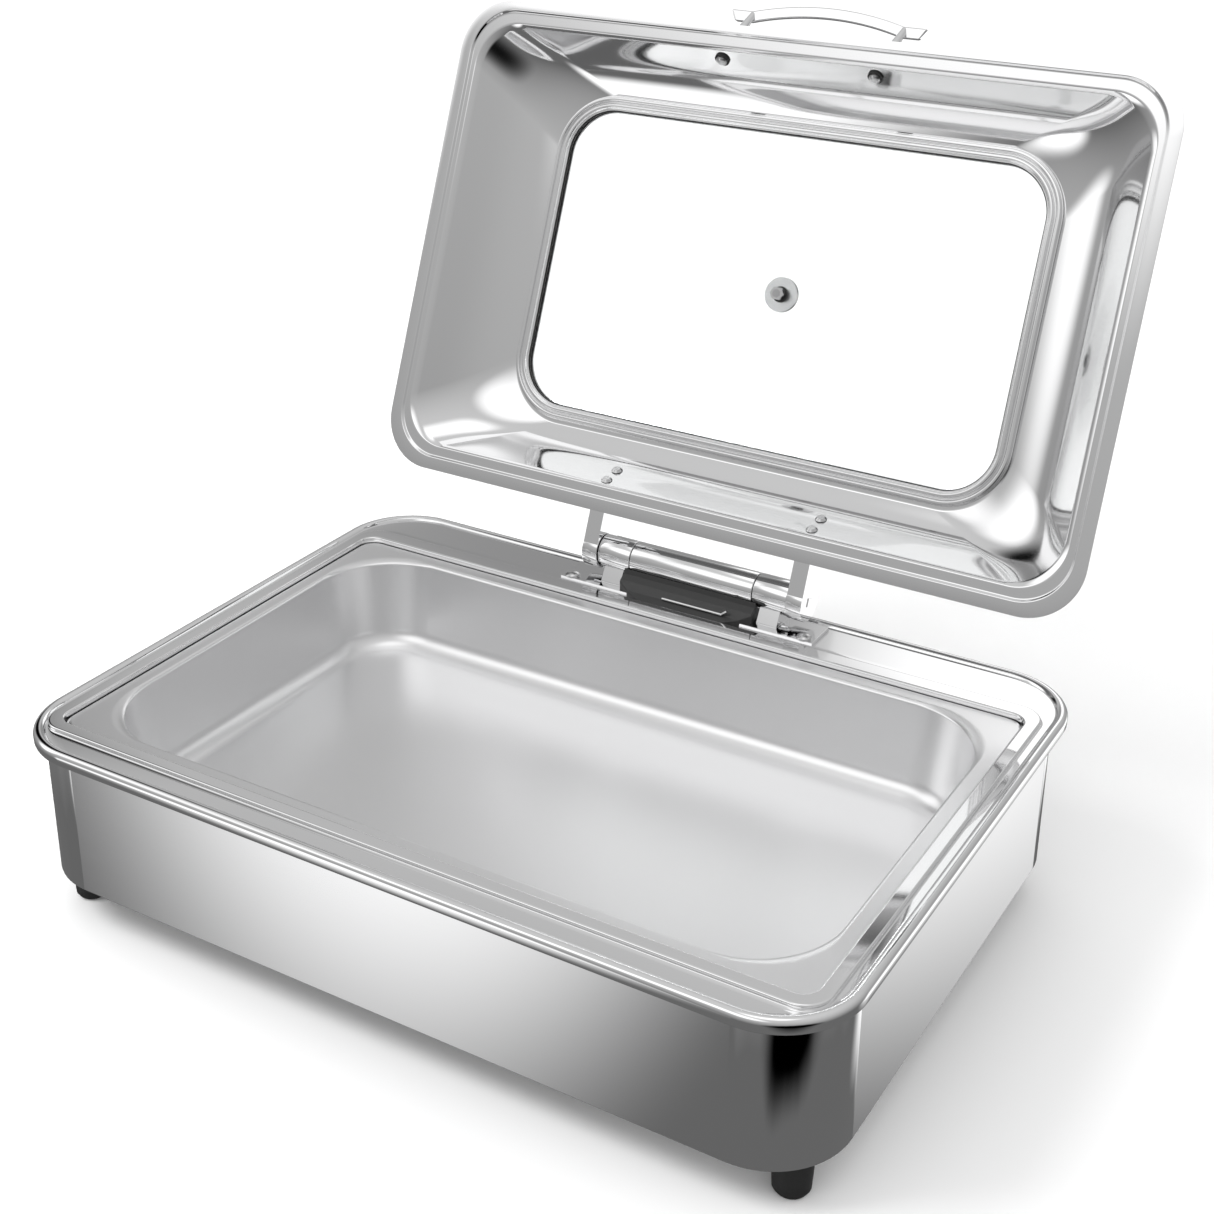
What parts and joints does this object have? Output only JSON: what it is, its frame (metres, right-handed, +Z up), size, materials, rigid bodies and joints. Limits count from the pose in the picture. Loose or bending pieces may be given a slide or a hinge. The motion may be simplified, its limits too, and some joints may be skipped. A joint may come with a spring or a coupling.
{
  "type": "chafing dish",
  "caption": "Rectangular chafing dish: mirror casing on feet, water pan with rolled rim, food pan, and a rear-hinged damped lid with a domed glass window, vent knob and bow handle.",
  "frame": {"origin": "on the surface that the feet stand on, under the middle of the bounding box with the lid open", "axes": "+X to the right along the front, +Y to the back where the hinge is, +Z up"},
  "size_m": [0.5758, 0.5853, 0.5313],
  "materials": {
    "polished_steel": "mirror-polished stainless steel",
    "plain_steel": "plain rolled stainless steel",
    "satin_steel": "satin drawn stainless steel",
    "foot_rubber": "black moulded rubber",
    "seal_rubber": "black soft seal rubber",
    "black_plastic": "black moulded plastic",
    "bronze": "sintered bronze",
    "clear_glass": "clear toughened glass"
  },
  "bodies": {
    "base": {"casing": "polished_steel", "bottom_plate": "plain_steel", "bottom_screws": "plain_steel", "feet": "foot_rubber", "foot_screws": "polished_steel", "foot_nuts": "plain_steel", "water_pan": "polished_steel", "food_pan": "satin_steel", "hinge_bracket": "polished_steel", "hinge_cradle": "black_plastic", "cradle_clip": "polished_steel", "bracket_screws": "polished_steel", "bracket_nuts": "plain_steel", "hinge_sleeve_left": "polished_steel", "hinge_sleeve_right": "polished_steel", "hinge_bushes": "bronze", "damper_tube": "polished_steel", "damper_seals": "seal_rubber"},
    "lid": {"damper_rotor": "plain_steel", "hinge_shaft": "polished_steel", "hinge_arm_left": "polished_steel", "hinge_arm_right": "polished_steel", "arm_spacers": "plain_steel", "arm_rivets": "polished_steel", "lid_shell": "polished_steel", "window_frame": "polished_steel", "window_trim": "polished_steel", "window_gasket": "seal_rubber", "window_glass": "clear_glass", "vent_knob": "polished_steel", "vent_seal": "seal_rubber", "vent_nut": "polished_steel", "handle_grip": "polished_steel", "handle_legs": "polished_steel", "handle_washers": "seal_rubber", "handle_screws": "polished_steel"}
  },
  "joints": [
    {"name": "lid_hinge", "type": "hinge", "parent": "base", "child": "lid", "pos_m": [0, 0.10727, 0.1516], "axis": [1, 0, 0], "range_deg": [0, 111.8]}
  ]
}
